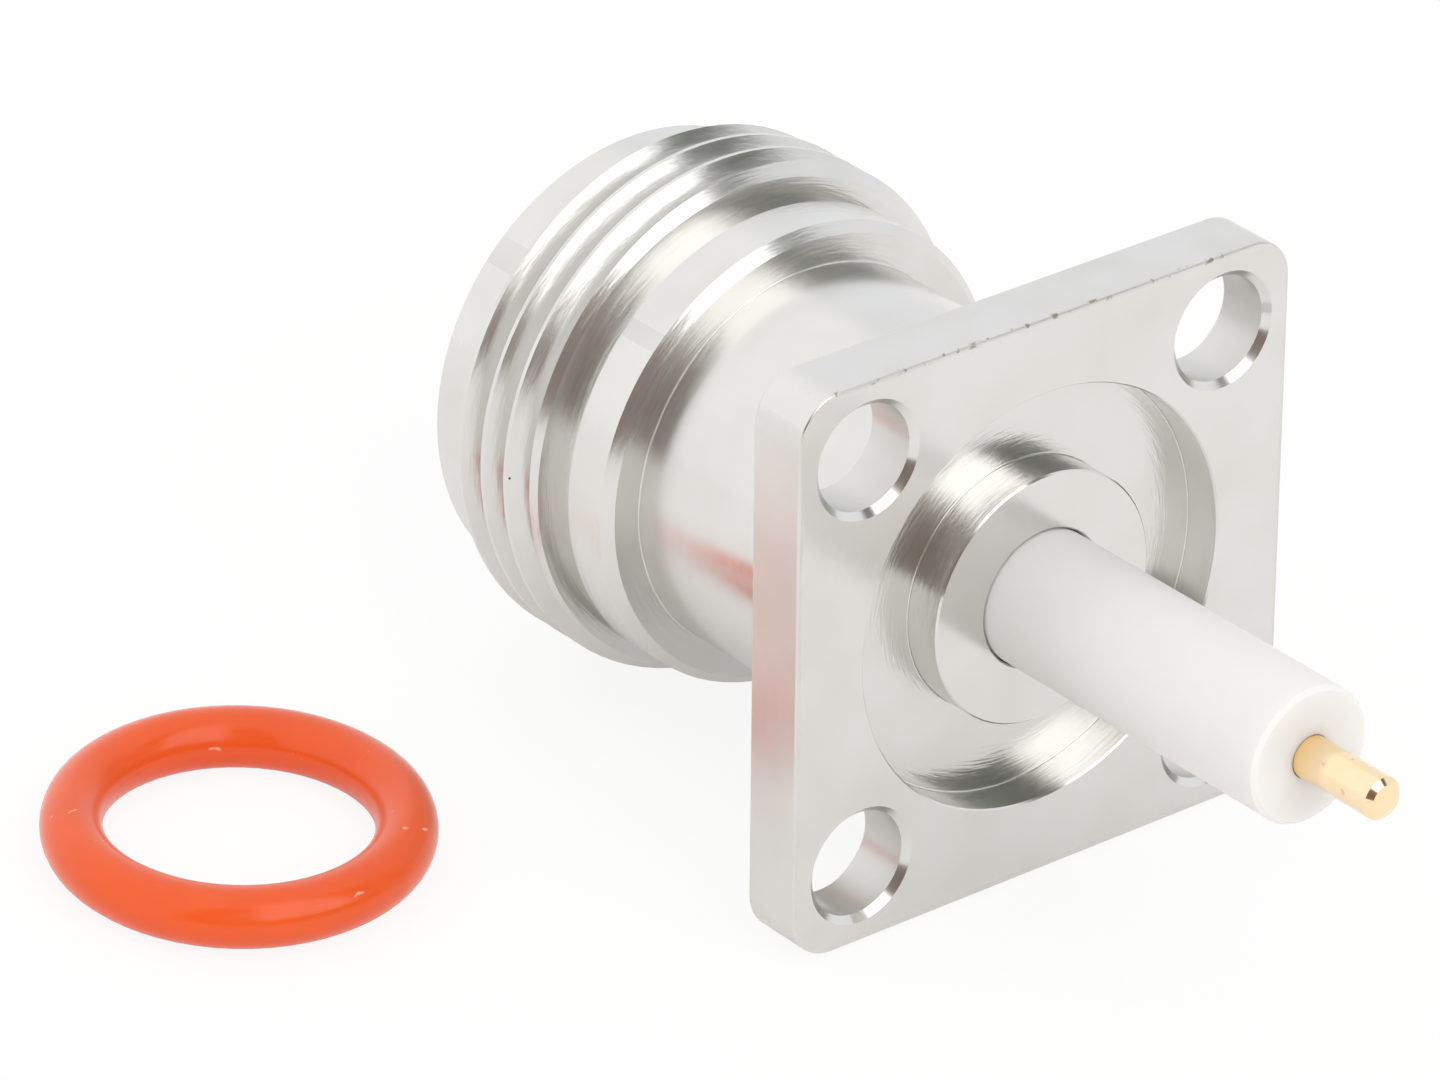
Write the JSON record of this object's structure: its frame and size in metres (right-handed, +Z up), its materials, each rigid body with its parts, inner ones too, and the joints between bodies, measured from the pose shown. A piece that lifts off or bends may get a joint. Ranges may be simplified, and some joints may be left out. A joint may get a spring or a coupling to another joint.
{
  "type": "n type connector",
  "caption": "Square flange coaxial panel jack: threaded mating end in front, long round dielectric stem with a solder pin behind, and its sealing ring lying beside it.",
  "frame": {"origin": "centre of the flange's rear face, at the middle of the four mounting holes", "axes": "-Y out of the flange's rear face along the dielectric stem and solder pin, +Y along the barrel to the mating end, +Z up and +X to the right when looking along +Y"},
  "size_m": [0.0322, 0.0334, 0.0176],
  "materials": {
    "nickel_plated_brass": "turned and milled brass under bright nickel plate",
    "ptfe": "turned, soft satin, slightly translucent",
    "gold_plated_contact": "gold plated",
    "silicone_rubber": "moulded, satin"
  },
  "bodies": {
    "root": {"flanged_shell": "nickel_plated_brass", "dielectric": "ptfe", "centre_contact": "gold_plated_contact", "sealing_ring": "silicone_rubber"}
  },
  "joints": []
}
